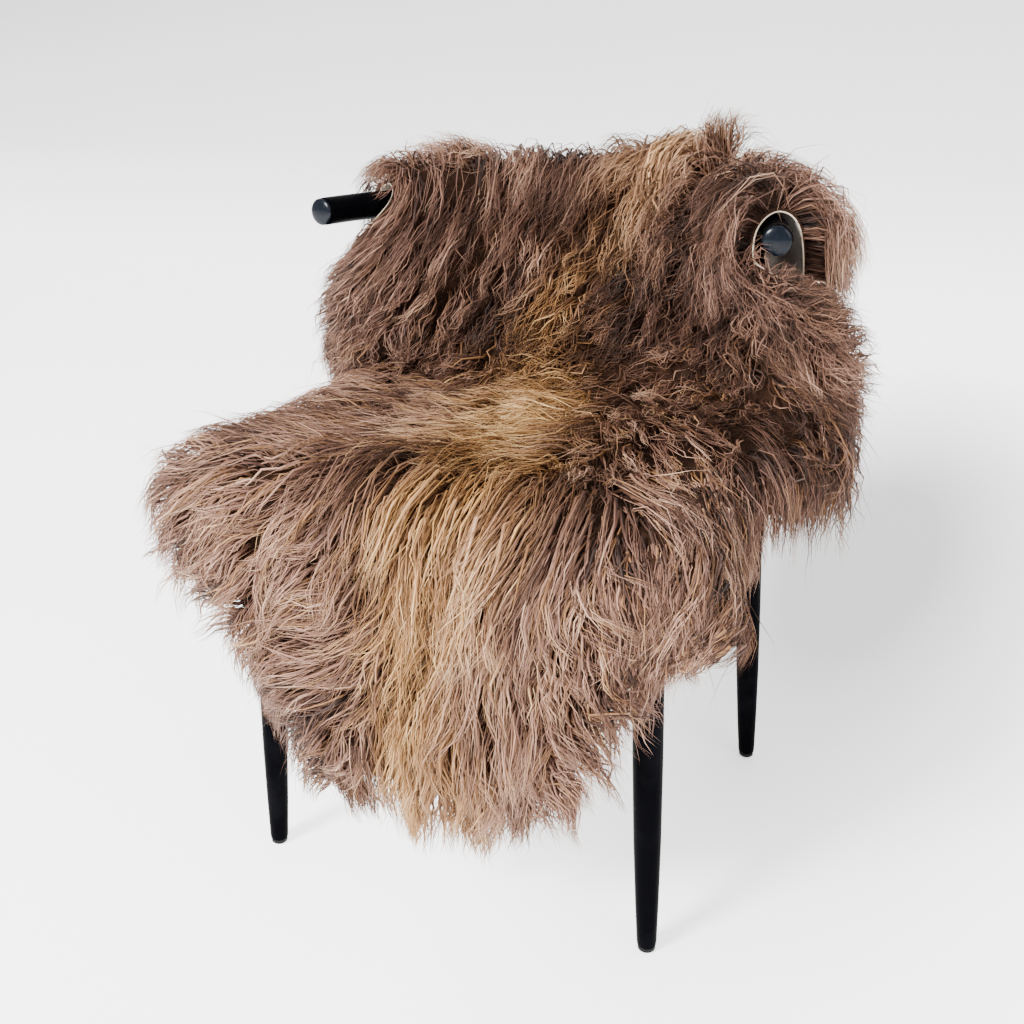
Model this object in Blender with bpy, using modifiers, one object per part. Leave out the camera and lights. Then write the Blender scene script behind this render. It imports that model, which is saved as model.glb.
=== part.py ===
"""Long-haired sheepskin rug draped over a plain black chair with a round-bar back.

Metres, +Z up. The chair faces -Y. The rug starts at its front hem, low in front of
the seat, crosses the seat, climbs the inside of the back, goes over the bent bar and
hangs down behind it. Its legs' lobes hang at both sides of the seat.
"""

from collections import namedtuple
from math import cos, exp, pi, radians, sin, sqrt, tanh

import bmesh
import bpy
from mathutils import Matrix, Vector, noise
from mathutils.bvhtree import BVHTree

# Chair: seat board, four turned legs and one bent bar.
SEAT_TOP = 0.455
SEAT_THICKNESS = 0.024
SEAT_HALF_WIDTH = 0.232
SEAT_FRONT = -0.222
SEAT_BACK = 0.165
SEAT_CORNER_RADIUS = 0.040
SEAT_EDGE_ROUND = 0.005

FOOT_HALF_WIDTH = 0.2245
FOOT_FRONT = -0.2035
FOOT_BACK = 0.2035
FRONT_LEG_TOP_HALF_WIDTH = 0.210
BACK_LEG_TOP = Vector((0.200, 0.150, 0.690))
LEG_STEPS = 16
# Distance along the leg as a share of the seat's height, and the leg's radius there.
LEG_PROFILE = ((0.0, 0.0098), (0.008, 0.0103), (0.12, 0.0120), (0.28, 0.0138), (0.50, 0.0150), (0.95, 0.0158))
BACK_LEG_TOP_RADIUS = 0.0125
GLIDE_HEIGHT = 0.006
GLIDE_RADIUS = 0.0092

RAIL_RADIUS = 0.0155
RAIL_HEIGHT = 0.693
RAIL_HALF_WIDTH = 0.263
RAIL_DEPTH = 0.300
RAIL_CENTRE_Y = -0.050
RAIL_END_ANGLE = radians(79)
RAIL_POINTS = 34
RAIL_END_STEPS = ((0.0, 0.66), (0.0016, 0.86), (0.0045, 0.97), (0.009, 1.0))

JOINT_GAP = 0.0004

# Rug: one row for each place along the spine, from the front hem to the back hem.
# y and z place the spine, left and right are the hide's half-widths, hug is how far the
# hide follows the seat or the bar before it falls away at the angles drop_left and
# drop_right, sweep is how far that fall leans back, wrap is 1 where the row bends round
# the bar, and wool is its height.
Station = namedtuple("Station", "y z left right hug drop_left drop_right sweep wrap wool")
STATIONS = (
    Station(-0.244, 0.160, 0.105, 0.158, 0.20, 5, 5, 1.0, 0.0, 0.032),
    Station(-0.246, 0.235, 0.155, 0.163, 0.20, 8, 8, 1.0, 0.0, 0.045),
    Station(-0.248, 0.320, 0.208, 0.204, 0.20, 8, 15, 0.9, 0.0, 0.050),
    Station(-0.250, 0.405, 0.268, 0.286, 0.22, 12, 50, 0.35, 0.0, 0.050),
    Station(-0.230, 0.4600, 0.306, 0.346, 0.250, 24, 66, 0.22, 0.0, 0.046),
    Station(-0.150, 0.4574, 0.328, 0.310, 0.250, 36, 72, 0.05, 0.0, 0.046),
    Station(-0.030, 0.4570, 0.316, 0.288, 0.250, 45, 72, 0.05, 0.0, 0.046),
    Station(0.075, 0.4610, 0.325, 0.308, 0.253, 51, 66, 0.05, 0.0, 0.044),
    Station(0.148, 0.4950, 0.374, 0.380, 0.275, 57, 59, 0.37, 0.19, 0.040),
    Station(0.186, 0.5650, 0.396, 0.384, 0.266, 39, 42, 0.45, 0.47, 0.046),
    Station(0.209, 0.6400, 0.345, 0.384, 0.300, 20, 20, 0.26, 0.82, 0.050),
    Station(0.2290, 0.6960, 0.282, 0.350, 0.450, 0, 0, 0.26, 1.0, 0.050),
    Station(0.2500, 0.7150, 0.288, 0.348, 0.450, 0, 0, 0.26, 1.0, 0.049),
    Station(0.2730, 0.6960, 0.310, 0.375, 0.450, 0, 0, 0.26, 1.0, 0.050),
    Station(0.2840, 0.6150, 0.280, 0.350, 0.450, 0, 0, 0.26, 1.0, 0.046),
    Station(0.2880, 0.5250, 0.170, 0.190, 0.450, 0, 0, 0.26, 1.0, 0.032),
)
DROP_SOFTNESS = 0.030
HEM_RISE_RIGHT = 0.70
HEM_RISE_END = 2.5

COLUMNS = 26
ROWS_BETWEEN_STATIONS = 4
RIM_WOOL_SHARE = 0.45
RIM_WOOL_WIDTH = 0.060
LUMP_HEIGHT = 0.24
LUMP_LENGTH = 0.085
LUMP_WIDTH = 0.042
FREE_FOLD = 0.40
FOLD_LIMIT = 0.30
HANG_FOLD_HEIGHT = 0.007
HANG_FOLD_WIDTH = 0.150
HANG_FOLD_TOP = 3

# Places where the wool stands higher.
Tuft = namedtuple("Tuft", "across place reach height")
TUFTS = (Tuft(0.36, 12.0, 0.060, 0.022), Tuft(0.05, 12.0, 0.060, 0.009), Tuft(0.95, 13.8, 0.110, 0.028))

# Locks at the rug's rim, on strips of hide parted from it.
STRIP_GAP = 0.0006
STRIP_GAP_STEP = 0.0001
STRIP_ROOM = 0.0003
END_GAP = 0.0008
STRIP_WIDTH = 0.007
STRIP_SHARE = 0.72
LOCK_LENGTH = 0.058
LOCK_LENGTH_SPREAD = 0.42
LOCK_FALL = 0.70
LOCK_SECTIONS = ((0.50, 0.74), (0.50, 0.12))
LOCK_TRIES = (1.0, 0.75, 0.5)
LOCK_ROOM = 0.0025
LEFT_STRIPS = ((0.25, 2.5), (2.5, 4.5), (4.5, 7.0), (7.75, 9.5), (13.5, 14.75))
RIGHT_STRIPS = ((0.25, 2.25), (2.75, 4.75), (4.75, 7.0), (7.75, 9.75), (13.75, 14.75))

BLACK_PAINT = (0.006, 0.006, 0.008)
BLACK_PLASTIC = (0.010, 0.010, 0.010)
BROWN_WOOL = (0.170, 0.095, 0.055)


def clear_scene():
    for obj in list(bpy.data.objects):
        bpy.data.objects.remove(obj, do_unlink=True)


def new_collection(name):
    collection = bpy.data.collections.new(name)
    bpy.context.scene.collection.children.link(collection)
    return collection


def new_material(name, colour, roughness, metallic=0.0):
    material = bpy.data.materials.new(name)
    material.use_nodes = True
    shader = material.node_tree.nodes["Principled BSDF"]
    shader.inputs["Base Color"].default_value = (*colour, 1.0)
    shader.inputs["Roughness"].default_value = roughness
    shader.inputs["Metallic"].default_value = metallic
    return material


def add_object(name, data, collection, material=None):
    obj = bpy.data.objects.new(name, data)
    collection.objects.link(obj)
    if material:
        obj.data.materials.append(material)
    return obj


def mesh_from(bm, name):
    bmesh.ops.recalc_face_normals(bm, faces=bm.faces)
    mesh = bpy.data.meshes.new(name)
    bm.to_mesh(mesh)
    bm.free()
    return mesh


def cut(obj, cutter):
    cutter.hide_render = True
    cutter.display_type = "WIRE"
    boolean = obj.modifiers.new("cut_" + cutter.name, "BOOLEAN")
    boolean.operation = "DIFFERENCE"
    boolean.solver = "EXACT"
    boolean.object = cutter


# Chair


def turned(name, outline, collection, material):
    """A turned piece round its own Z axis from (radius, height) pairs, lowest first."""
    mesh = bpy.data.meshes.new(name)
    low, high = outline[0][1], outline[-1][1]
    points = [(0, 0, high), *[(r, 0, z) for r, z in reversed(outline)], (0, 0, low)]
    mesh.from_pydata(points, [(i, i + 1) for i in range(len(points) - 1)], [])
    obj = add_object(name, mesh, collection, material)
    screw = obj.modifiers.new("turn", "SCREW")
    screw.axis = "Z"
    screw.steps = screw.render_steps = LEG_STEPS
    screw.use_merge_vertices = True
    screw.merge_threshold = 0.0001
    return obj


def leg_outline(length, widest, top_radius=None, grow=0.0):
    outline = [(radius + grow, share * widest) for share, radius in LEG_PROFILE]
    outline.append(((top_radius or LEG_PROFILE[-1][1]) + grow, length))
    return outline


def stand_leg(obj, foot, top):
    obj.location = foot
    obj.rotation_euler = (top - foot).to_track_quat("Z", "Y").to_euler()


def make_legs(parts, cutters, paint, plastic):
    """Front legs stop under the seat board. Back legs run up into the bar."""
    under_seat = SEAT_TOP - SEAT_THICKNESS
    seat_cutters = []
    back_legs = []
    for side, word in ((-1, "left"), (1, "right")):
        front_foot = Vector((side * FOOT_HALF_WIDTH, FOOT_FRONT, GLIDE_HEIGHT + 0.0008))
        front_top = Vector((side * FRONT_LEG_TOP_HALF_WIDTH, FOOT_FRONT, under_seat - 0.0008))
        back_foot = Vector((side * FOOT_HALF_WIDTH, FOOT_BACK, GLIDE_HEIGHT + 0.0012))
        back_top = Vector((side * BACK_LEG_TOP.x, BACK_LEG_TOP.y, BACK_LEG_TOP.z))

        front_length = (front_top - front_foot).length
        leg = turned(f"front_leg_{word}", leg_outline(front_length, under_seat), parts, paint)
        stand_leg(leg, front_foot, front_top)

        back_length = (back_top - back_foot).length
        outline = leg_outline(back_length, under_seat, BACK_LEG_TOP_RADIUS)
        leg = turned(f"back_leg_{word}", outline, parts, paint)
        stand_leg(leg, back_foot, back_top)
        back_legs.append(leg)

        outline = leg_outline(back_length, under_seat, BACK_LEG_TOP_RADIUS, grow=JOINT_GAP)
        cutter = turned(f"seat_notch_{word}", outline, cutters, None)
        stand_leg(cutter, back_foot, back_top)
        seat_cutters.append(cutter)

        for foot, where in ((front_foot, "front"), (back_foot, "back")):
            rim = GLIDE_HEIGHT * 0.35
            glide_outline = ((GLIDE_RADIUS - rim, 0), (GLIDE_RADIUS, rim), (GLIDE_RADIUS, GLIDE_HEIGHT))
            glide = turned(f"{where}_glide_{word}", glide_outline, parts, plastic)
            glide.location = (foot.x, foot.y, 0)
    return back_legs, seat_cutters


def make_seat(parts, paint, seat_cutters):
    """Seat board with round corners, notched for the back legs."""
    bm = bmesh.new()
    bmesh.ops.create_cube(bm, size=1)
    size = Vector((2 * SEAT_HALF_WIDTH, SEAT_BACK - SEAT_FRONT, SEAT_THICKNESS))
    centre = Vector((0, (SEAT_BACK + SEAT_FRONT) / 2, SEAT_TOP - SEAT_THICKNESS / 2))
    bmesh.ops.scale(bm, vec=size, verts=bm.verts)
    bmesh.ops.translate(bm, vec=centre, verts=bm.verts)
    upright = [e for e in bm.edges if abs(e.verts[0].co.z - e.verts[1].co.z) > SEAT_THICKNESS / 2]
    bmesh.ops.bevel(bm, geom=upright, offset=SEAT_CORNER_RADIUS, segments=6, profile=0.5, affect="EDGES")
    level = [e for e in bm.edges if abs(e.verts[0].co.z - e.verts[1].co.z) < SEAT_THICKNESS / 2]
    bmesh.ops.bevel(bm, geom=level, offset=SEAT_EDGE_ROUND, segments=2, profile=0.5, affect="EDGES")
    seat = add_object("seat_board", mesh_from(bm, "seat_board"), parts, paint)
    for cutter in seat_cutters:
        cut(seat, cutter)


def rail_point(angle):
    """Centre line of the bar, angle 0 at the middle of the back, positive to the right."""
    x = RAIL_HALF_WIDTH * sin(angle)
    return Vector((x, RAIL_CENTRE_Y + RAIL_DEPTH * cos(angle), RAIL_HEIGHT))


def rail_curve(name, grow):
    """The bent bar as a round tube with softly rounded ends."""
    speed = sqrt((RAIL_HALF_WIDTH * cos(RAIL_END_ANGLE)) ** 2 + (RAIL_DEPTH * sin(RAIL_END_ANGLE)) ** 2)
    ends = [(RAIL_END_ANGLE - inset / speed, share) for inset, share in RAIL_END_STEPS]
    inner = ends[-1][0]
    middle = [(inner * (1 - 2 * i / RAIL_POINTS), 1.0) for i in range(1, RAIL_POINTS)]
    stops = [*ends, *middle, *[(-angle, share) for angle, share in reversed(ends)]]
    curve = bpy.data.curves.new(name, "CURVE")
    curve.dimensions = "3D"
    curve.bevel_depth = RAIL_RADIUS + grow
    curve.bevel_resolution = 6
    curve.use_fill_caps = True
    spline = curve.splines.new("POLY")
    spline.points.add(len(stops) - 1)
    for point, (angle, share) in zip(spline.points, stops):
        point.co = (*rail_point(angle), 1)
        point.radius = share
    return curve


def solid_from_curve(name, curve, collection, material):
    """A mesh object from a curve, with its caps welded."""
    helper = bpy.data.objects.new(name + "_curve", curve)
    bpy.context.scene.collection.objects.link(helper)
    bpy.context.view_layer.update()
    evaluated = helper.evaluated_get(bpy.context.evaluated_depsgraph_get())
    mesh = bpy.data.meshes.new_from_object(evaluated)
    bpy.data.objects.remove(helper, do_unlink=True)
    bm = bmesh.new()
    bm.from_mesh(mesh)
    bmesh.ops.remove_doubles(bm, verts=bm.verts, dist=0.00001)
    bpy.data.meshes.remove(mesh)
    return add_object(name, mesh_from(bm, name), collection, material)


def make_rail(parts, cutters, paint, back_legs):
    rail = solid_from_curve("back_bar", rail_curve("back_bar", 0.0), parts, paint)
    socket = solid_from_curve("bar_socket", rail_curve("bar_socket", JOINT_GAP), cutters, None)
    for leg in back_legs:
        cut(leg, socket)
    rail.data.shade_smooth()
    return rail


# Rug


def smoothstep(value):
    value = min(1.0, max(0.0, value))
    return value * value * (3 - 2 * value)


def station_at(place):
    """The table's row at any place between two rows, by a Catmull-Rom curve."""
    last = len(STATIONS) - 1
    place = min(max(place, 0.0), float(last))
    i = min(int(place), last - 1)
    f = place - i
    rows = [STATIONS[min(max(i + step, 0), last)] for step in (-1, 0, 1, 2)]
    values = []
    for a, b, c, d in zip(*rows):
        bend = 2 * a - 5 * b + 4 * c - d
        twist = 3 * b - 3 * c + d - a
        values.append(0.5 * (2 * b + (c - a) * f + bend * f * f + twist * f**3))
    return Station(*values)


def hide_point(across, place):
    """A point of the hide. across is -1 at its left edge and 1 at its right edge."""
    if across > 0:
        place += HEM_RISE_RIGHT * across * across * max(0.0, 1 - place / HEM_RISE_END) ** 2
    row = station_at(place)
    side = 1 if across > 0 else -1
    distance = abs(across) * (row.right if across > 0 else row.left)
    past = distance - row.hug
    if past < -DROP_SOFTNESS:
        past = 0.0
    elif past < DROP_SOFTNESS:
        past = (past + DROP_SOFTNESS) ** 2 / (4 * DROP_SOFTNESS)
    hugged = distance - past

    straight = Vector((side * hugged, row.y, row.z))
    offset = row.y - (RAIL_CENTRE_Y + RAIL_DEPTH)
    width, depth = RAIL_HALF_WIDTH + offset, RAIL_DEPTH + offset
    angle = hugged / ((width + depth) / 2)
    bent = Vector((side * width * sin(angle), RAIL_CENTRE_Y + depth * cos(angle), row.z))
    point = straight.lerp(bent, row.wrap)

    drop = radians(row.drop_right if across > 0 else row.drop_left)
    down = Vector((0, row.sweep, row.sweep - 1)).normalized()
    point += past * (Vector((side * cos(drop), 0, 0)) + sin(drop) * down)

    hanging = smoothstep((HANG_FOLD_TOP - place) / 2)
    fold = 1 - cos(2 * pi * (distance * side / HANG_FOLD_WIDTH + 0.2))
    point.y -= HANG_FOLD_HEIGHT * hanging * fold
    return point


def hide_normal(across, place):
    step = 0.02
    sideways = hide_point(min(across + step, 1), place) - hide_point(max(across - step, -1), place)
    last = len(STATIONS) - 1
    low, high = max(place - step, 0), min(place + step, last)
    along = hide_point(across, high) - hide_point(across, low)
    return sideways.cross(along).normalized()


def length_to_rim(across, place):
    row = station_at(place)
    half = row.right if across > 0 else row.left
    to_side = (1 - abs(across)) * half
    to_hem = min(place, len(STATIONS) - 1 - place) * 0.075
    return min(to_side, to_hem)


def fold_sharpness(across, place):
    """How sharply the hide folds in towards its wool, as one over the fold's radius."""
    sharpest = 0.0
    for step_across, step_place in ((0.08, 0.0), (0.0, 0.25)):
        before = (max(across - step_across, -1), max(place - step_place, 0))
        after = (min(across + step_across, 1), min(place + step_place, len(STATIONS) - 1))
        run = hide_point(*after) - hide_point(*before)
        turn = hide_normal(*after) - hide_normal(*before)
        sharpest = max(sharpest, -turn.dot(run) / run.length_squared)
    return sharpest


def wool_height(across, place):
    """Height of the wool above the hide, with lumps where its locks lie."""
    row = station_at(place)
    side = row.right if across > 0 else row.left
    near_rim = smoothstep(length_to_rim(across, place) / RIM_WOOL_WIDTH)
    share = RIM_WOOL_SHARE + (1 - RIM_WOOL_SHARE) * near_rim
    distance = across * side
    run = place * 0.08
    lump = noise.noise(Vector((distance / LUMP_WIDTH, run / LUMP_LENGTH + abs(distance) * 6, 3.7)))
    broad = noise.noise(Vector((distance * 9, run * 9, 11.3)))
    height = row.wool * share * (1 + near_rim * LUMP_HEIGHT * (1.5 * lump + 0.8 * broad))
    for tuft in TUFTS:
        away = Vector(((across - tuft.across) * side, (place - tuft.place) * 0.08)).length / tuft.reach
        height += tuft.height * exp(-away * away)
    fold = fold_sharpness(across, place)
    spare = height * fold - FREE_FOLD
    if spare > 0:
        height = (FREE_FOLD + FOLD_LIMIT * tanh(spare / FOLD_LIMIT)) / fold
    return height


def wool_point(across, place):
    return hide_point(across, place) + hide_normal(across, place) * wool_height(across, place)


def row_places():
    count = (len(STATIONS) - 1) * ROWS_BETWEEN_STATIONS
    return [i / ROWS_BETWEEN_STATIONS for i in range(count + 1)]


def make_rug(parts, wool):
    """One lumpy slab: the hide below, the top of the wool above, closed round the rim."""
    places = row_places()
    bm = bmesh.new()
    bmesh.ops.create_grid(bm, x_segments=COLUMNS, y_segments=len(places) - 1, size=1)
    last = len(STATIONS) - 1
    spots = {v: (v.co.x, (v.co.y + 1) / 2 * last) for v in bm.verts}
    for vert, (across, place) in spots.items():
        vert.co = hide_point(across, place)
    spot_of_point = {tuple(v.co): spot for v, spot in spots.items()}
    made = bmesh.ops.extrude_face_region(bm, geom=list(bm.faces), use_keep_orig=True)
    for item in made["geom"]:
        if isinstance(item, bmesh.types.BMVert):
            across, place = spot_of_point[tuple(item.co)]
            item.co = wool_point(across, place)
    return finish_wool(bm, "sheepskin", parts, wool)


def finish_wool(bm, name, parts, wool):
    """Adds the mesh as a part and gives back a tree for measuring distances to it."""
    bmesh.ops.triangulate(bm, faces=bm.faces, quad_method="SHORT_EDGE")
    tree = BVHTree.FromBMesh(bm)
    add_object(name, mesh_from(bm, name), parts, wool)
    return tree


def rim_sections(spots, gap):
    """Strip sections beside the rim: four corners each, and the direction outwards."""
    points = [hide_point(*spot) for spot in spots]
    sections = []
    for i, spot in enumerate(spots):
        up = hide_normal(*spot)
        along = (points[min(i + 1, len(points) - 1)] - points[max(i - 1, 0)]).normalized()
        out = along.cross(up).normalized()
        inside = hide_point(spot[0] * 0.96, min(max(spot[1], 0.1), len(STATIONS) - 1.1))
        if out.dot(points[i] - inside) < 0:
            out.negate()
        height = wool_height(*spot)
        half = height / 2 * STRIP_SHARE
        inner = points[i] + up * height / 2 + out * gap
        if i == 0:
            inner += along * END_GAP
        elif i == len(points) - 1:
            inner -= along * END_GAP
        outer = inner + out * STRIP_WIDTH
        corners = (inner - up * half, outer - up * half * 0.8, outer + up * half * 0.8, inner + up * half)
        sections.append((corners, out))
    return sections


def room_beside(sections, tree):
    """The least distance from the strip's inner faces to the rug."""
    least = 1.0
    for (before, _), (after, _) in zip(sections, sections[1:]):
        for i in range(7):
            low, high = before[0].lerp(after[0], i / 6), before[3].lerp(after[3], i / 6)
            for j in range(7):
                least = min(least, tree.find_nearest(low.lerp(high, j / 6))[3])
    return least


def lock_path(base, out, length):
    """Three points of a lock that leaves the strip outwards and falls."""
    heading = (out + Vector((0, 0, -LOCK_FALL))).normalized()
    middle = base + heading * length * LOCK_SECTIONS[0][0]
    heading = (heading + Vector((0, 0, -LOCK_FALL))).normalized()
    return middle, middle + heading * length * LOCK_SECTIONS[1][0]


def has_room(path, base, trees, others):
    """Whether a lock along this path stays clear of the finished pieces and other locks."""
    middle, tip = path
    for share in (0.35, 0.7, 1.0, 1.35, 1.7, 2.0):
        point = base.lerp(middle, share) if share < 1 else middle.lerp(tip, share - 1)
        radius = 0.006 * (1.2 - share * 0.5) + LOCK_ROOM
        if any(tree.find_nearest(point)[3] < radius for tree in trees):
            return False
        if any((point - other).length < radius + size for other, size in others):
            return False
    return True


def make_strip(name, spots, parts, wool, trees):
    """A narrow strip beside the rim from one spot to the next, with a lock on each stretch."""
    bm = bmesh.new()
    gap = STRIP_GAP
    sections = rim_sections(spots, gap)
    while room_beside(sections, trees[0]) < STRIP_ROOM:
        gap += STRIP_GAP_STEP
        sections = rim_sections(spots, gap)
    rings = [[bm.verts.new(corner) for corner in corners] for corners, _ in sections]
    lock_faces = []
    for before, after in zip(rings, rings[1:]):
        for i in range(4):
            j = (i + 1) % 4
            face = bm.faces.new((before[i], before[j], after[j], after[i]))
            if i == 1:
                lock_faces.append(face)
    bm.faces.new(rings[0])
    bm.faces.new(rings[-1])
    bmesh.ops.recalc_face_normals(bm, faces=bm.faces)

    others = []
    for number, face in enumerate(lock_faces):
        base = face.calc_center_median()
        out = (sections[number][1] + sections[number + 1][1]).normalized()
        full = LOCK_LENGTH * (1 + LOCK_LENGTH_SPREAD * 2 * noise.noise(base * 41))
        paths = [lock_path(base, out, full * share) for share in LOCK_TRIES]
        path = next((p for p in paths if has_room(p, base, trees, others[:-2])), None)
        if not path:
            continue
        others += [(path[0], 0.005), (path[1], 0.002)]
        for target, (_, size) in zip(path, LOCK_SECTIONS):
            face = bmesh.ops.extrude_discrete_faces(bm, faces=[face])["faces"][0]
            centre = face.calc_center_median()
            bmesh.ops.scale(bm, vec=(size, size, size), verts=face.verts, space=Matrix.Translation(-centre))
            bmesh.ops.translate(bm, vec=target - centre, verts=face.verts)
    trees.append(finish_wool(bm, name, parts, wool))


def side_spots(side, start, end):
    return [(side, place) for place in row_places() if start - 1e-6 <= place <= end + 1e-6]


def hem_spots(place):
    return [(-1 + 2 * i / COLUMNS, place) for i in range(COLUMNS + 1)]


def make_fringe(parts, wool, rug_tree):
    trees = [rug_tree]
    make_strip("wool_front_hem", hem_spots(0), parts, wool, trees)
    make_strip("wool_back_hem", hem_spots(len(STATIONS) - 1), parts, wool, trees)
    for side, word, strips in ((-1, "left", LEFT_STRIPS), (1, "right", RIGHT_STRIPS)):
        for number, (start, end) in enumerate(strips, 1):
            make_strip(f"wool_{word}_{number}", side_spots(side, start, end), parts, wool, trees)


def stand_on_centre(parts):
    """Moves the whole part so that the origin is on the floor under its middle."""
    bpy.context.view_layer.update()
    graph = bpy.context.evaluated_depsgraph_get()
    low = Vector((1e9, 1e9, 1e9))
    high = -low
    for obj in parts.objects:
        done = obj.evaluated_get(graph)
        for vert in done.data.vertices:
            point = done.matrix_world @ vert.co
            low = Vector(map(min, low, point))
            high = Vector(map(max, high, point))
    base = bpy.data.objects.new("base", None)
    parts.objects.link(base)
    base.location = (-(low.x + high.x) / 2, -(low.y + high.y) / 2, -low.z)
    return base


def main():
    clear_scene()
    parts = new_collection("sheepskin_rug_on_chair")
    cutters = new_collection("cutters")
    paint = new_material("black_paint", BLACK_PAINT, 0.35)
    plastic = new_material("black_plastic", BLACK_PLASTIC, 0.6)
    wool = new_material("brown_wool", BROWN_WOOL, 0.85)
    back_legs, seat_cutters = make_legs(parts, cutters, paint, plastic)
    make_seat(parts, paint, seat_cutters)
    make_rail(parts, cutters, paint, back_legs)
    rug_tree = make_rug(parts, wool)
    make_fringe(parts, wool, rug_tree)
    base = stand_on_centre(parts)
    for obj in [*parts.objects, *cutters.objects]:
        if obj is not base:
            obj.parent = base


main()
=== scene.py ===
from math import cos, pi, radians, sin

import bmesh
import bpy
import numpy as np
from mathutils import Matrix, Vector, noise


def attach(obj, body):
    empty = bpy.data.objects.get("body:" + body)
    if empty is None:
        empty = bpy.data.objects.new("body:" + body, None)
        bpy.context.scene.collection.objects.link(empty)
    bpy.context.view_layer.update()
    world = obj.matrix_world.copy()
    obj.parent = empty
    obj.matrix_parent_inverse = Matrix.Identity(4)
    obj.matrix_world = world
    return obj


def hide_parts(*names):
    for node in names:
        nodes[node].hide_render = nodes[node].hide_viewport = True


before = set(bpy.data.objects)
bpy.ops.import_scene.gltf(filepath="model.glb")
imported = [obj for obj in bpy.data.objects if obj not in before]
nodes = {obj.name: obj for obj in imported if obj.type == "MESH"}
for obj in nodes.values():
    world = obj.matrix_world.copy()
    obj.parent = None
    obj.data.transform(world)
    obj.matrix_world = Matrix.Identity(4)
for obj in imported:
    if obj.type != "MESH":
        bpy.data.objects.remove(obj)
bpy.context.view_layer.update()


# ---------------------------------------------------------------- camera
# The photograph was taken from the front right, a little above the bar, with a short
# telephoto lens. The place comes from the chair's feet, legs, seat edge and bar ends.
CAMERA_PLACE = Vector((0.5342, -1.2210, 0.8803))
CAMERA_LOOKS = Vector((-0.38396, 0.85151, -0.35707))
CAMERA_LENS = 44.0
SENSOR = 36.0

camera_data = bpy.data.cameras.new("camera")
camera_data.lens = CAMERA_LENS
camera_data.sensor_width = SENSOR
camera = bpy.data.objects.new("camera", camera_data)
bpy.context.scene.collection.objects.link(camera)
camera.location = CAMERA_PLACE
camera.rotation_euler = CAMERA_LOOKS.to_track_quat("-Z", "Y").to_euler()
bpy.context.scene.camera = camera


# ---------------------------------------------------------------- chair frame
# Turned beech legs, a bent beech bar and a plywood seat, all sprayed with black lacquer.
# The spray leaves a fine orange peel, a few dull rubbed places and a faint grain.
class Socket:
    """One output of a shader node, which adds and multiplies like a number."""

    def __init__(self, finish, output):
        self.finish = finish
        self.output = output

    def maths(self, operation, first, second):
        return self.finish.node("Math", {"operation": operation}, {0: first, 1: second})

    def __add__(self, other):
        return self.maths("ADD", self, other)

    def __sub__(self, other):
        return self.maths("SUBTRACT", self, other)

    def __mul__(self, other):
        return self.maths("MULTIPLY", self, other)

    __radd__ = __add__
    __rmul__ = __mul__


class Finish:
    """A material, with one method that adds any node to it."""

    def __init__(self, name, **shader):
        self.material = bpy.data.materials.new(name)
        self.material.use_nodes = True
        self.tree = self.material.node_tree
        self.shader = self.tree.nodes["Principled BSDF"]
        for socket, value in shader.items():
            self.shader.inputs[socket.replace("_", " ")].default_value = value

    def node(self, kind, settings, sockets, output=None):
        made = self.tree.nodes.new("ShaderNode" + kind)
        stops = settings.pop("stops", None)
        for name, value in settings.items():
            setattr(made, name, value)
        if stops:
            while len(made.color_ramp.elements) < len(stops):
                made.color_ramp.elements.new(0.5)
            for element, (position, colour) in zip(made.color_ramp.elements, stops):
                element.position = position
                element.color = (*colour, 1.0)
        for name, value in sockets.items():
            found = made.inputs[name] if isinstance(name, int) else None
            found = found or next(s for s in made.inputs if s.enabled and s.name == name)
            self.feed(found, value)
        outputs = [o for o in made.outputs if o.enabled and output in (None, o.name)]
        return Socket(self, outputs[0])

    def feed(self, socket, value):
        if isinstance(value, Socket):
            self.tree.links.new(value.output, socket)
        else:
            socket.default_value = value

    def paint(self, **sockets):
        for name, value in sockets.items():
            self.feed(self.shader.inputs[name.replace("_", " ")], value)

    def place(self, stretch=(1, 1, 1)):
        spot = self.node("TexCoord", {}, {}, "Object")
        return self.node("Mapping", {}, {"Vector": spot, "Scale": stretch})

    def cloud(self, vector, scale, detail=3.0, roughness=0.5):
        sockets = {"Vector": vector, "Scale": scale, "Detail": detail, "Roughness": roughness}
        return self.node("TexNoise", {}, sockets, "Fac")

    def ramp(self, value, *stops):
        return self.node("ValToRGB", {"stops": stops}, {"Fac": value}, "Color")

    def blend(self, share, one, other, kind="MIX"):
        settings = {"data_type": "RGBA", "blend_type": kind}
        return self.node("Mix", settings, {"Factor": share, "A": one, "B": other})

    def bump(self, height, strength, distance):
        sockets = {"Height": height, "Strength": strength, "Distance": distance}
        return self.node("Bump", {}, sockets, "Normal")


LACQUER_BLACK = (0.0012, 0.0012, 0.0018)
LACQUER_RUBBED = (0.0035, 0.0035, 0.0045)
GRAIN_ALONG_LEG = (260.0, 260.0, 9.0)
GRAIN_ALONG_BAR = (60.0, 60.0, 240.0)
GRAIN_ON_SEAT = (12.0, 220.0, 220.0)
PEEL_SCALE, RUB_SCALE = 420.0, 16.0
PEEL_STRENGTH, PEEL_DEPTH = 0.22, 0.0006


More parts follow.
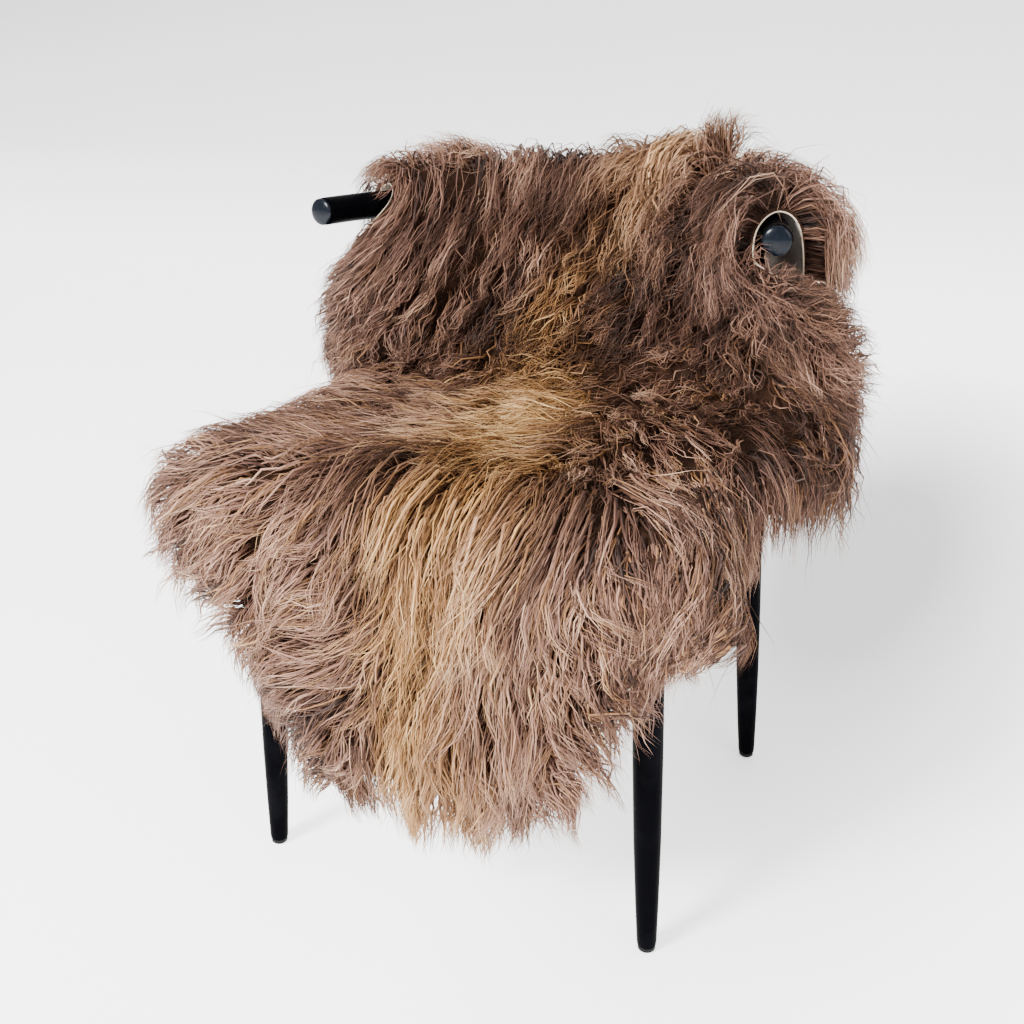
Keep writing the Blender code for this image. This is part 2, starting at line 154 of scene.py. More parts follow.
def lacquer(name, grain_stretch, roughness):
    """Black lacquer whose grain is stretched along the piece."""
    finish = Finish(name, Specular_IOR_Level=0.005)
    peel = finish.cloud(finish.place(), PEEL_SCALE, 2.0)
    grain = finish.cloud(finish.place(grain_stretch), 1.0, 4.0)
    patches = finish.cloud(finish.place(), RUB_SCALE, 5.0, 0.6)
    rubbed = finish.ramp(patches, (0.52, (0, 0, 0)), (0.74, (1, 1, 1)))
    colour = finish.blend(rubbed, (*LACQUER_BLACK, 1), (*LACQUER_RUBBED, 1))
    finish.paint(
        Base_Color=colour,
        Roughness=rubbed * 0.10 + peel * 0.05 + roughness,
        Normal=finish.bump(peel * 0.4 + grain * 0.6, PEEL_STRENGTH, PEEL_DEPTH),
    )
    return finish.material


SHARP_EDGE = radians(35)
WELD = 0.000001


def repaint(material, *names):
    """Gives solids that are shown as they are a material."""
    for name in names:
        nodes[name].data.materials.clear()
        nodes[name].data.materials.append(material)


def sanded(material, *names):
    """Copies of solids with their facets shaded smooth, as turned and sanded wood is."""
    for name in names:
        bm = bmesh.new()
        bm.from_mesh(nodes[name].data)
        bmesh.ops.remove_doubles(bm, verts=bm.verts, dist=WELD)
        mesh = bpy.data.meshes.new(f"sanded_{name}")
        bm.to_mesh(mesh)
        bm.free()
        if "custom_normal" in mesh.attributes:
            mesh.attributes.remove(mesh.attributes["custom_normal"])
        mesh.shade_smooth()
        mesh.set_sharp_from_angle(angle=SHARP_EDGE)
        mesh.materials.append(material)
        piece = bpy.data.objects.new(mesh.name, mesh)
        bpy.context.scene.collection.objects.link(piece)
        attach(piece, "root")
        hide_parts(name)


leg_lacquer = lacquer("black_lacquer_legs", GRAIN_ALONG_LEG, 0.26)
bar_lacquer = lacquer("black_lacquer_bar", GRAIN_ALONG_BAR, 0.22)
seat_lacquer = lacquer("black_lacquer_seat", GRAIN_ON_SEAT, 0.34)
sanded(leg_lacquer, "front_leg_left", "front_leg_right", "back_leg_left", "back_leg_right")
sanded(bar_lacquer, "back_bar")
repaint(seat_lacquer, "seat_board")


# The bar's ends are turned to a low dome and polished, so they catch the light.
BAR_CENTRE_Y, BAR_DEPTH, BAR_HALF_WIDTH = -0.050, 0.300, 0.263
BAR_HEIGHT, BAR_END_ANGLE = 0.693, radians(79)
MIDDLE = np.array((0.00681445, -0.0092172, 0.0))
CAP_RADIUS, CAP_DOME, CAP_SINK = 0.0148, 0.0034, 0.0012
DOME_SHARES = (0.30, 0.55, 0.75, 0.89, 0.97, 1.0)
DOME_ROUNDNESS, DOME_TIP = 1.9, 0.02
cap_finish = Finish("polished_lacquer", Specular_IOR_Level=0.10, Coat_Weight=0.12, Coat_Roughness=0.06)
swirl = cap_finish.cloud(cap_finish.place(), 240.0, 3.0)
cap_finish.paint(
    Base_Color=cap_finish.ramp(swirl, (0.3, (0.001, 0.002, 0.004)), (0.7, (0.002, 0.004, 0.008))),
    Roughness=swirl * 0.08 + 0.20,
)
for side, word in ((-1, "left"), (1, "right")):
    bm = bmesh.new()
    bmesh.ops.create_circle(bm, cap_ends=True, segments=32, radius=CAP_RADIUS)
    face = bm.faces[:][0]
    for share in DOME_SHARES:
        lifted = bmesh.ops.extrude_face_region(bm, geom=[face])
        ring = [v for v in lifted["geom"] if isinstance(v, bmesh.types.BMVert)]
        if share > DOME_SHARES[0]:
            bmesh.ops.delete(bm, geom=[face], context="FACES_ONLY")
        face = next(f for f in lifted["geom"] if isinstance(f, bmesh.types.BMFace))
        radius = CAP_RADIUS * max(1 - share**DOME_ROUNDNESS, DOME_TIP) ** 0.5
        now = Vector(ring[0].co).xy.length
        bmesh.ops.scale(bm, vec=(radius / now, radius / now, 1), verts=ring)
        for vert in ring:
            vert.co.z = CAP_DOME * share
    bmesh.ops.recalc_face_normals(bm, faces=bm.faces)
    across, back = side * sin(BAR_END_ANGLE), cos(BAR_END_ANGLE)
    heading = Vector((side * BAR_HALF_WIDTH * cos(BAR_END_ANGLE), -BAR_DEPTH * sin(BAR_END_ANGLE), 0))
    heading = heading.normalized()
    end = Vector((BAR_HALF_WIDTH * across, BAR_CENTRE_Y + BAR_DEPTH * back, BAR_HEIGHT))
    turn = heading.to_track_quat("Z", "Y").to_matrix().to_4x4()
    bmesh.ops.transform(bm, matrix=turn, verts=bm.verts)
    bmesh.ops.translate(bm, vec=end + Vector(MIDDLE) - heading * CAP_SINK, verts=bm.verts)
    mesh = bpy.data.meshes.new(f"bar_cap_{word}")
    bm.to_mesh(mesh)
    bm.free()
    mesh.shade_smooth()
    mesh.materials.append(cap_finish.material)
    cap = bpy.data.objects.new(mesh.name, mesh)
    bpy.context.scene.collection.objects.link(cap)
    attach(cap, "root")


# ---------------------------------------------------------------- foot glides
# Each foot stands on a moulded black nylon glide, pressed on, with a thin parting
# line between the wood and the glide and a scuffed edge where it meets the floor.
glide_finish = Finish("moulded_nylon", Specular_IOR_Level=0.12)
scuffs = glide_finish.cloud(glide_finish.place((1, 1, 0.25)), 900.0, 4.0, 0.7)
glide_finish.paint(
    Base_Color=glide_finish.ramp(scuffs, (0.45, (0.003, 0.003, 0.003)), (0.8, (0.014, 0.013, 0.013))),
    Roughness=scuffs * 0.25 + 0.42,
    Normal=glide_finish.bump(scuffs, 0.3, 0.0004),
)
repaint(
    glide_finish.material,
    "front_glide_left", "front_glide_right", "back_glide_left", "back_glide_right",
)


# ---------------------------------------------------------------- the pelt's leather
# One tanned sheepskin, about 1.15 m from neck to rump. It lies over the seat, climbs
# the inside of the back and falls behind the bar. The cut edge shows pale beside the bar.
#
# One row for each place along the spine, from front hem to back hem: the spine's y and z,
# half-widths left and right, where the fall starts, its angles left and right, how far it
# sweeps back, how far the leather wraps round the bar's bend, and the pile's height.
ROWS = np.array((
    (-0.244, 0.160, 0.105, 0.158, 0.20, 5, 5, 1.0, 0.0, 0.032),
    (-0.246, 0.235, 0.155, 0.163, 0.20, 8, 8, 1.0, 0.0, 0.045),
    (-0.248, 0.320, 0.208, 0.204, 0.20, 8, 15, 0.9, 0.0, 0.050),
    (-0.250, 0.405, 0.268, 0.286, 0.22, 12, 50, 0.35, 0.0, 0.050),
    (-0.230, 0.4600, 0.306, 0.346, 0.250, 24, 66, 0.22, 0.0, 0.046),
    (-0.150, 0.4574, 0.328, 0.310, 0.250, 36, 72, 0.05, 0.0, 0.046),
    (-0.030, 0.4570, 0.316, 0.288, 0.250, 45, 72, 0.05, 0.0, 0.046),
    (0.075, 0.4610, 0.325, 0.308, 0.253, 51, 66, 0.05, 0.0, 0.044),
    (0.148, 0.4950, 0.374, 0.380, 0.275, 57, 59, 0.37, 0.19, 0.040),
    (0.186, 0.5650, 0.396, 0.384, 0.266, 39, 42, 0.45, 0.47, 0.046),
    (0.209, 0.6400, 0.345, 0.384, 0.300, 20, 20, 0.26, 0.82, 0.050),
    (0.2290, 0.6960, 0.282, 0.350, 0.450, 0, 0, 0.26, 1.0, 0.050),
    (0.2500, 0.7150, 0.288, 0.348, 0.450, 0, 0, 0.26, 1.0, 0.049),
    (0.2730, 0.6960, 0.310, 0.375, 0.450, 0, 0, 0.26, 1.0, 0.050),
    (0.2840, 0.6150, 0.280, 0.350, 0.450, 0, 0, 0.26, 1.0, 0.046),
    (0.2880, 0.5250, 0.170, 0.190, 0.450, 0, 0, 0.26, 1.0, 0.032),
))
LAST = len(ROWS) - 1
Y, Z, LEFT, RIGHT, HUG, DROP_LEFT, DROP_RIGHT, SWEEP, WRAP, PILE = range(10)
DROP_SOFTNESS = 0.030
HEM_RISE_RIGHT, HEM_RISE_END = 0.70, 2.5
HANG_FOLD_HEIGHT, HANG_FOLD_WIDTH = 0.007, 0.150


def smooth(value):
    """An S-shaped step from 0 to 1."""
    value = np.clip(value, 0.0, 1.0)
    return value * value * (3 - 2 * value)


def row_at(place):
    """The pelt's row at any place between two rows."""
    place = np.clip(place, 0.0, LAST)
    i = np.minimum(place.astype(int), LAST - 1)
    f = (place - i)[..., None]
    a, b, c, d = (ROWS[np.clip(i + step, 0, LAST)] for step in (-1, 0, 1, 2))
    bend = 2 * a - 5 * b + 4 * c - d
    twist = 3 * b - 3 * c + d - a
    return 0.5 * (2 * b + (c - a) * f + bend * f * f + twist * f**3)


def half_width(across, place):
    """The leather's width from the spine to its left or right edge."""
    row = row_at(place)
    return np.where(across > 0, row[..., RIGHT], row[..., LEFT])


def leather_points(across, place):
    """Points of the leather's underside; across is -1 at its left edge and 1 at its right."""
    across, place = np.broadcast_arrays(np.asarray(across, float), np.asarray(place, float))
    rise = HEM_RISE_RIGHT * across**2 * np.clip(1 - place / HEM_RISE_END, 0, None) ** 2
    place = np.where(across > 0, place + rise, place)
    row = row_at(place)
    side = np.where(across > 0, 1.0, -1.0)
    distance = np.abs(across) * half_width(across, place)
    past = distance - row[..., HUG]
    soft = (past + DROP_SOFTNESS) ** 2 / (4 * DROP_SOFTNESS)
    past = np.where(past < -DROP_SOFTNESS, 0.0, np.where(past < DROP_SOFTNESS, soft, past))
    hugged = distance - past

    straight = np.stack((side * hugged, row[..., Y], row[..., Z]), -1)
    offset = row[..., Y] - (BAR_CENTRE_Y + BAR_DEPTH)
    width, depth = BAR_HALF_WIDTH + offset, BAR_DEPTH + offset
    angle = hugged / ((width + depth) / 2)
    bent = np.stack((side * width * np.sin(angle), BAR_CENTRE_Y + depth * np.cos(angle), row[..., Z]), -1)
    points = straight + (bent - straight) * row[..., WRAP, None]

    drop = np.radians(np.where(across > 0, row[..., DROP_RIGHT], row[..., DROP_LEFT]))
    down = np.stack((np.zeros_like(drop), row[..., SWEEP], row[..., SWEEP] - 1), -1)
    down /= np.linalg.norm(down, axis=-1, keepdims=True)
    fall = np.sin(drop)[..., None] * down
    fall[..., 0] += side * np.cos(drop)
    points += past[..., None] * fall

    fold = 1 - np.cos(2 * pi * (distance * side / HANG_FOLD_WIDTH + 0.2))
    points[..., 1] -= HANG_FOLD_HEIGHT * smooth((3 - place) / 2) * fold
    return points + MIDDLE


def unit(vectors):
    return vectors / np.maximum(np.linalg.norm(vectors, axis=-1, keepdims=True), 1e-9)


def leather_slopes(across, place):
    """Unit vectors sideways and along the leather, its normal, and its metres per place."""
    low, high = np.clip(across - 0.02, -1, 1), np.clip(across + 0.02, -1, 1)
    sideways = unit(leather_points(high, place) - leather_points(low, place))
    low, high = np.clip(place - 0.02, 0, LAST), np.clip(place + 0.02, 0, LAST)
    run = leather_points(across, high) - leather_points(across, low)
    speed = np.linalg.norm(run, axis=-1) / (high - low)
    return sideways, unit(run), unit(np.cross(sideways, run)), speed


def grid_sheet(name, columns, rows, height):
    """A grid over the whole pelt, at a height above the leather's underside."""
    bm = bmesh.new()
    bmesh.ops.create_grid(bm, x_segments=columns, y_segments=rows, size=1)
    spots = np.array([v.co for v in bm.verts])
    across, place = spots[:, 0], (spots[:, 1] + 1) / 2 * LAST
    normal = leather_slopes(across, place)[2]
    points = leather_points(across, place) + normal * height(across, place)[:, None]
    for vert, point in zip(bm.verts, points):
        vert.co = point
    mesh = bpy.data.meshes.new(name)
    bm.to_mesh(mesh)
    bm.free()
    mesh.shade_smooth()
    piece = bpy.data.objects.new(name, mesh)
    bpy.context.scene.collection.objects.link(piece)
    return piece


LEATHER_THICKNESS = 0.0014
suede = Finish("tanned_suede", Sheen_Weight=0.25, Sheen_Roughness=0.5)
nap = suede.cloud(suede.place(), 260.0, 6.0, 0.7)
stains = suede.cloud(suede.place(), 9.0, 4.0, 0.55)
wrinkles = {"Vector": suede.place(), "Scale": 70.0}
creases = suede.node("TexVoronoi", {"feature": "DISTANCE_TO_EDGE"}, wrinkles, "Distance")
SUEDE_DARK, SUEDE_PALE = (0.13, 0.095, 0.072), (0.26, 0.20, 0.15)
suede.paint(
    Base_Color=suede.ramp(stains * 0.7 + nap * 0.3, (0.3, SUEDE_DARK), (0.7, SUEDE_PALE)),
    Roughness=nap * 0.15 + 0.78,
    Normal=suede.bump(nap * 0.5 + creases * 1.2, 0.5, 0.001),
)
cut_edge = Finish("cut_leather_edge", Roughness=0.8, Specular_IOR_Level=0.2)
fibres = cut_edge.cloud(cut_edge.place(), 700.0, 4.0, 0.7)
cut_edge.paint(Base_Color=cut_edge.ramp(fibres, (0.3, (0.40, 0.31, 0.22)), (0.7, (0.66, 0.55, 0.42))))
leather = grid_sheet("leather", 52, 104, lambda across, place: np.full(across.shape, LEATHER_THICKNESS))
leather.data.materials.append(suede.material)
leather.data.materials.append(cut_edge.material)
wall = leather.modifiers.new("thickness", "SOLIDIFY")
wall.thickness = LEATHER_THICKNESS
wall.offset = -1.0
wall.material_offset_rim = 1
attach(leather, "root")


# ---------------------------------------------------------------- under-wool
# Short dense crimped wool next to the leather, felted into one springy mass. Its near-black
# colour is painted shade: it only shows between the long locks, as the shade that parts them.
RIM_SHARE, RIM_WIDTH = 0.45, 0.060
UNDER_WOOL_SHARE, UNDER_WOOL_LEAST = 0.26, 0.003
CREST_PLACE = 12.15


def near_place(place, middle, reach):
    """1 at a place along the spine, fading to 0 away from it."""
    return np.exp(-(((place - middle) / reach) ** 2))


def to_rim(across, place):
    """Metres from the nearest edge of the leather."""
    side = (1 - np.abs(across)) * half_width(across, place)
    return np.minimum(side, np.minimum(place, LAST - place) * 0.075)


def pile_height(across, place):
    """How high the wool stands over the leather, less towards the edges."""
    share = RIM_SHARE + (1 - RIM_SHARE) * smooth(to_rim(across, place) / RIM_WIDTH)
    return row_at(place)[..., PILE] * share


def under_wool_height(across, place):
    lumps = [noise.noise(Vector((a * 14, p * 3.2, 4.1))) for a, p in zip(across, place)]
    taper = smooth(to_rim(across, place) / 0.035)
    crest = 1 + 0.3 * near_place(place, 12.1, 0.7)
    mass = pile_height(across, place) * UNDER_WOOL_SHARE * taper * crest
    return UNDER_WOOL_LEAST + mass * (1 + 0.5 * np.array(lumps))


crimp = Finish("under_wool", Specular_IOR_Level=0.1)
curl = crimp.cloud(crimp.place(), 380.0, 5.0, 0.65)
shade = crimp.cloud(crimp.place(), 30.0, 4.0, 0.6)
# Painted shade: the felt is coloured nearly black, for the shade deep between the locks.
FELT_PAINTED_SHADE_DARK, FELT_PAINTED_SHADE_PALE = (0.010, 0.004, 0.002), (0.060, 0.027, 0.015)
crimp.paint(
    Base_Color=crimp.ramp(curl * 0.6 + shade * 0.4, (0.35, FELT_PAINTED_SHADE_DARK), (0.75, FELT_PAINTED_SHADE_PALE)),
    Roughness=curl * 0.1 + 0.85,
    Normal=crimp.bump(curl, 1.0, 0.004),
)
under_wool = grid_sheet("under_wool", 60, 130, under_wool_height)
under_wool.data.materials.append(crimp.material)
depth = under_wool.modifiers.new("depth", "SOLIDIFY")
depth.thickness = 0.0015
depth.offset = -1.0
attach(under_wool, "root")
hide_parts("sheepskin")


# ---------------------------------------------------------------- long wool
# Long guard hair, 60 to 120 mm, that parts into flat wavy locks. Each lock is a bundle
# that narrows to a point, and fine single hairs lie over it and stray from it.
GRID_ACROSS, GRID_PLACES = 81, 241
grid_a = np.linspace(-1, 1, GRID_ACROSS)
grid_p = np.linspace(0, LAST, GRID_PLACES)
mesh_a, mesh_p = np.meshgrid(grid_a, grid_p, indexing="ij")
sideways, along, normal, speed = leather_slopes(mesh_a, mesh_p)
PELT = np.concatenate((leather_points(mesh_a, mesh_p), normal, sideways, along, speed[..., None]), -1)
GRAVITY = np.array((0.0, 0.0, -1.0))
FALL_LENGTH, LIFT_LENGTH = 0.16, 0.12
rng = np.random.default_rng(20)


def pelt_at(across, place):
    """Point, normal, sideways and along vectors and speed, between the grid's points."""
    x = (np.clip(across, -1, 1) + 1) / 2 * (GRID_ACROSS - 1)
    y = np.clip(place, 0, LAST) / LAST * (GRID_PLACES - 1)
    i = np.minimum(x.astype(int), GRID_ACROSS - 2)
    j = np.minimum(y.astype(int), GRID_PLACES - 2)
    fx, fy = (x - i)[..., None], (y - j)[..., None]
    values = (PELT[i, j] * (1 - fx) + PELT[i + 1, j] * fx) * (1 - fy)
    values += (PELT[i, j + 1] * (1 - fx) + PELT[i + 1, j + 1] * fx) * fy
    ways = (unit(values[..., first:first + 3]) for first in (3, 6, 9))
    return values[..., :3], *ways, values[..., 12]


def over_pelt(across, place, height):
    """A point of the wool at a height over the leather, falling freely past the rim."""
    point, up, sideways, along, speed = pelt_at(across, place)
    past_side = (across - np.clip(across, -1, 1)) * half_width(across, place)
    past_hem = (place - np.clip(place, 0, LAST)) * speed
    out = sideways * past_side[..., None] + along * past_hem[..., None]
    length = np.linalg.norm(out, axis=-1, keepdims=True)
    fallen = length * np.clip(length / FALL_LENGTH, 0, 1)
    lift = height[..., None] * np.exp(-length / LIFT_LENGTH)
    kept = 1 - 0.5 * np.clip(length / FALL_LENGTH, 0, 1)
    return point + out * kept + GRAVITY * fallen + up * lift, up


# How the wool lies: degrees from straight towards the front hem, positive to the right,
# in columns from the pelt's left edge to its right and in rows by place.
LIE_ACROSS = (-1.0, -0.5, 0.1, 0.5, 1.0)
LIE_PLACES = (0.0, 1.0, 2.5, 4.0, 5.0, 6.5, 7.5, 8.5, 10.0, 11.6)
LIE_DEGREES = np.array((
    (-45, -35, 0, 15, 20),
    (-55, -45, 0, 18, 25),
    (-65, -55, 0, 20, 26),
    (-75, -65, -5, 22, 34),
    (-80, -72, -20, 22, 38),
    (-70, -62, -25, 20, 40),
    (-25, -20, -15, 5, 30),
    (-50, -8, -20, -25, 50),
    (-25, -5, -20, -40, 80),
    (-5, -5, -15, -45, 60),
))
LIE_BEHIND_DEGREES = 22.0


PLACE_LENGTH = 0.076


def noise_at(across, place, scale, seed):
    """Smooth random values from -1 to 1 over the pelt."""
    x, y = across * half_width(across, place) * scale, place * PLACE_LENGTH * scale
    return np.array([noise.noise(Vector((u, v, seed))) for u, v in zip(x, y)]) * 1.6


def lie_at(across, place, behind):
    """Direction of the wool as metres sideways and metres along."""
    x = np.interp(across, LIE_ACROSS, range(len(LIE_ACROSS)))
    y = np.interp(place, LIE_PLACES, range(len(LIE_PLACES)))
    i = np.minimum(y.astype(int), len(LIE_PLACES) - 2)
    j = np.minimum(x.astype(int), len(LIE_ACROSS) - 2)
    fx, fy = x - j, y - i
    low = LIE_DEGREES[i, j] * (1 - fx) + LIE_DEGREES[i, j + 1] * fx
    high = LIE_DEGREES[i + 1, j] * (1 - fx) + LIE_DEGREES[i + 1, j + 1] * fx
    angle = np.radians(np.where(behind, across * LIE_BEHIND_DEGREES, low * (1 - fy) + high * fy))
    return np.sin(angle), np.where(behind, 1.0, -1.0) * np.cos(angle)


def fuzz_at(across, place):
    """1 where the wool is short and felted, on the right of the back, else 0."""
    right = smooth((across - 0.22) / 0.3)
    return right * smooth((place - 6.6) / 1.2) * smooth((12.0 - place) / 0.8)


ROOT_HEIGHT = 0.002
STEEPEST_CLIMB, STEEPEST_FALL = 0.95, -0.5


def grow(across, place, length, lift, turn, stand, steps, outward=0.0, heading=None):
    """Paths of the wool from its roots: points, the leather's normals and the middle's spot.

    Each strand climbs to its lift, then lies down along the lie of the wool or its own
    heading. Wool at the edges grows outward, and turn bends it to one side.
    """
    a, p = across.copy(), place.copy()
    behind = goes_behind(place)
    step = length / (steps - 1)
    height = np.zeros_like(a)
    points, ups = [], []
    for k in range(steps):
        point, up = over_pelt(a, p, height + ROOT_HEIGHT)
        points.append(point)
        ups.append(up)
        climb = (lift - height) / np.maximum(stand, 1e-4)
        climb = np.clip(climb, STEEPEST_FALL, STEEPEST_CLIMB)
        level = np.sqrt(1 - climb**2)
        sideways, along = lie_at(np.clip(a, -1, 1), np.clip(p, 0, LAST), behind)
        if heading is not None:
            own = ~np.isnan(heading)
            sideways = np.where(own, np.sin(heading), sideways)
            along = np.where(own, -np.cos(heading), along)
        sideways = sideways * (1 - outward) + outward * np.sign(across)
        along = along * (1 - 0.8 * outward)
        size = np.hypot(sideways, along)
        sideways, along = sideways / size, along / size
        if k == steps * 5 // 8:
            middle = np.clip(a, -1, 1), np.clip(p, 0, LAST)
        bend = turn * (0.6 + 0.4 * k / steps)
        sideways, along = (
            sideways * np.cos(bend) - along * np.sin(bend),
            sideways * np.sin(bend) + along * np.cos(bend),
        )
        speed = pelt_at(a, p)[4]
        a += sideways * level * step / half_width(a, p)
        p += along * level * step / np.maximum(speed, 0.02)
        height += climb * step
    return np.stack(points, 1), np.stack(ups, 1), middle


def crowding(across, place):
    """How closely the wool stands: more where it parts, at the crest and at the arms."""
    parting = np.exp(-(((across - 0.12) / 0.35) ** 2)) * smooth((place - 3) / 2) * smooth((7.5 - place) / 1)
    corner = np.exp(-(((np.abs(across) - 0.62) / 0.25) ** 2) - ((place - 4.4) / 0.8) ** 2)
    crest = near_place(place, CREST_PLACE, 0.6)
    arms = smooth(1 - to_rim(across, place) / 0.035)
    arms = arms * smooth((place - 8) / 0.5) * smooth((12.8 - place) / 0.5)
    fuzz = fuzz_at(across, place)
    return 1 + 0.8 * parting + 1.3 * corner + 0.9 * crest + 0.6 * fuzz + 1.2 * arms


CREST_RAGGEDNESS, SCRAMBLE = 0.45, 9173.0


def goes_behind(place):
    """Whether wool with its root at this place falls behind the bar. The line is ragged."""
    return place + CREST_RAGGEDNESS * np.sin(place * SCRAMBLE) > CREST_PLACE


FULL_WEIGHT = 0.11


def scatter(count, low, high):
    """Roots spread evenly over the leather between two places."""
    found_a, found_p = [], []
    while sum(map(len, found_a)) < count:
        a, p = rng.uniform(-1, 1, count * 3), rng.uniform(low, high, count * 3)
        weight = half_width(a, p) * pelt_at(a, p)[4] * crowding(a, p)
        keep = rng.uniform(0, FULL_WEIGHT, count * 3) < weight
        found_a.append(a[keep])
        found_p.append(p[keep])
    return np.concatenate(found_a)[:count], np.concatenate(found_p)[:count]


# The golden stripe: places along the spine, its middle, its width and its strength there.
STRIPE_PLACES = (0.0, 1.5, 3.0, 4.5, 5.5, 6.5, 7.5, 8.3, 9.2, 10.0, 11.0, 12.0, 15.0)
STRIPE_ACROSS = (0.02, 0.02, 0.05, 0.10, 0.04, -0.02, -0.10, -0.12, -0.10, 0.05, 0.22, 0.30, 0.3)
STRIPE_WIDTH = (0.34, 0.26, 0.20, 0.22, 0.22, 0.24, 0.18, 0.12, 0.12, 0.20, 0.16, 0.22, 0.2)
STRIPE_STRENGTH = (0.9, 0.85, 0.85, 1.0, 1.0, 0.9, 0.75, 0.6, 0.6, 0.4, 0.5, 0.5, 0.3)


def gold_at(across, place):
    """How golden the wool is: a stripe along the spine."""
    centre = np.interp(place, STRIPE_PLACES, STRIPE_ACROSS)
    width = np.interp(place, STRIPE_PLACES, STRIPE_WIDTH)
    strength = np.interp(place, STRIPE_PLACES, STRIPE_STRENGTH)
    return strength * np.exp(-(((across - centre) / width) ** 2))


LEAN = np.array((0.07, -0.31, 0.03))


def frame_of(points, ups):
    """Directions along and across each strand. The lean keeps upright strands from twisting."""
    forward = unit(np.gradient(points, axis=1))
    return forward, unit(np.cross(forward, ups + LEAN))


def wave(points, ups, length, crest, wavelength, phase):
    """Adds the wool's crimp: a wave to the sides and a smaller one up and down."""
    steps = points.shape[1]
    run = np.linspace(0, 1, steps)[None, :]
    _, side = frame_of(points, ups)
    turn = 2 * pi * run * (length / wavelength)[:, None] + phase[:, None]
    size = crest[:, None] * smooth(run * 2.2)
    sway, rise = np.sin(turn) * size, np.cos(turn * 0.8) * size * 0.5
    return points + side * sway[..., None] + ups * rise[..., None]


STRAND_CORNERS = 3


def strand_template(name, rings):
    """One strand, root at height 0, made of rings that close to a point."""
    bm = bmesh.new()
    bmesh.ops.create_circle(bm, cap_ends=True, segments=STRAND_CORNERS, radius=1.0)
    face = bm.faces[:][0]
    for ring in range(1, rings):
        made = bmesh.ops.extrude_face_region(bm, geom=[face])
        verts = [v for v in made["geom"] if isinstance(v, bmesh.types.BMVert)]
        bmesh.ops.translate(bm, vec=(0, 0, 1), verts=verts)
        if ring > 1:
            bmesh.ops.delete(bm, geom=[face], context="FACES_ONLY")
        face = next(f for f in made["geom"] if isinstance(f, bmesh.types.BMFace))
    bmesh.ops.pointmerge(bm, verts=face.verts[:], merge_co=(0, 0, rings - 1))
    bmesh.ops.recalc_face_normals(bm, faces=bm.faces)
    mesh = bpy.data.meshes.new(name)
    bm.to_mesh(mesh)
    bm.free()
    return mesh


def weave_strands(name, points, ups, width, thickness, tints, material):
    """One piece with a strand along every path; tints are named values for each strand."""
    count, rings = points.shape[:2]
    helper = bpy.data.objects.new(name, strand_template(name, rings))
    bpy.context.scene.collection.objects.link(helper)
    local = np.array([v.co for v in helper.data.vertices])
    copies = helper.modifiers.new("copies", "ARRAY")
    copies.count = count
    copies.use_relative_offset = False
    evaluated = helper.evaluated_get(bpy.context.evaluated_depsgraph_get())
    mesh = bpy.data.meshes.new_from_object(evaluated)
    helper.modifiers.clear()
    helper.data = mesh

    forward, side = frame_of(points, ups)
    up = np.cross(side, forward)
    ring = np.rint(local[:, 2]).astype(int)
    share = ring / (rings - 1)
    fade = (0.62 + 0.38 * np.sin(pi * np.clip(share * 1.25, 0, 1))) * (1 - share**2.2)
    placed = points[:, ring]
    placed = placed + side[:, ring] * (local[None, :, 0] * fade * width[:, None])[..., None]
    placed = placed + up[:, ring] * (local[None, :, 1] * fade * thickness[:, None])[..., None]
    mesh.vertices.foreach_set("co", placed.astype(np.float32).ravel())
    values = {key: np.repeat(value, len(local)) for key, value in tints.items()}
    values["run"] = np.tile(share, count)
    values["breadth"] = np.tile(local[:, 0], count)
    for key, value in values.items():
        spread = mesh.attributes.new(key, "FLOAT", "POINT")
        spread.data.foreach_set("value", value.astype(np.float32))
    mesh.shade_smooth()
    mesh.materials.append(material)
    mesh.update()
    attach(helper, "root")
    return helper


def wool_finish(name, streaks, roughness):
    """Wool bleached towards its tip and darker towards its root, where painted shade stands for the depth
    of the pile; streaked along each strand.
    """
    finish = Finish(name, Specular_IOR_Level=0.28)
    read = {}
    for key in ("run", "breadth", "tone_and_shade", "gold", "seed"):
        read[key] = finish.node("Attribute", {"attribute_name": key}, {}, "Fac")
    spot = {"X": read["breadth"] * streaks + read["seed"] * 61.0}
    spot["Y"], spot["Z"] = read["run"] * 3.0, read["seed"] * 17.0
    spot = finish.node("CombineXYZ", {}, spot)
    streak = finish.cloud(spot, 1.0, 3.0, 0.65)
    # Painted shade: run darkens each strand towards its root, for the depth of the pile; towards the tip
    # the same term is the wool's bleaching.
    level = read["tone_and_shade"] * 0.62 + read["run"] * 0.42 + (streak - 0.5) * 1.2 - 0.12
    brown = finish.ramp(
        level,
        (0.0, (0.008, 0.003, 0.002)),
        (0.28, (0.046, 0.019, 0.011)),
        (0.62, (0.240, 0.118, 0.079)),
        (1.0, (0.680, 0.430, 0.300)),
    )
    golden = finish.ramp(
        level,
        (0.0, (0.020, 0.007, 0.002)),
        (0.28, (0.120, 0.046, 0.011)),
        (0.62, (0.470, 0.235, 0.078)),
        (1.0, (0.960, 0.640, 0.290)),
    )
    finish.paint(
        Base_Color=finish.blend(read["gold"], brown, golden),
        Roughness=streak * 0.2 + roughness,
        Normal=finish.bump(streak, 0.6, 0.0012),
    )
    return finish.material


lock_finish = wool_finish("wool_locks", 4.5, 0.42)
hair_finish = wool_finish("wool_hairs", 0.4, 0.38)
BASE_TONE, STRAY_GOLD = 0.61, 0.14


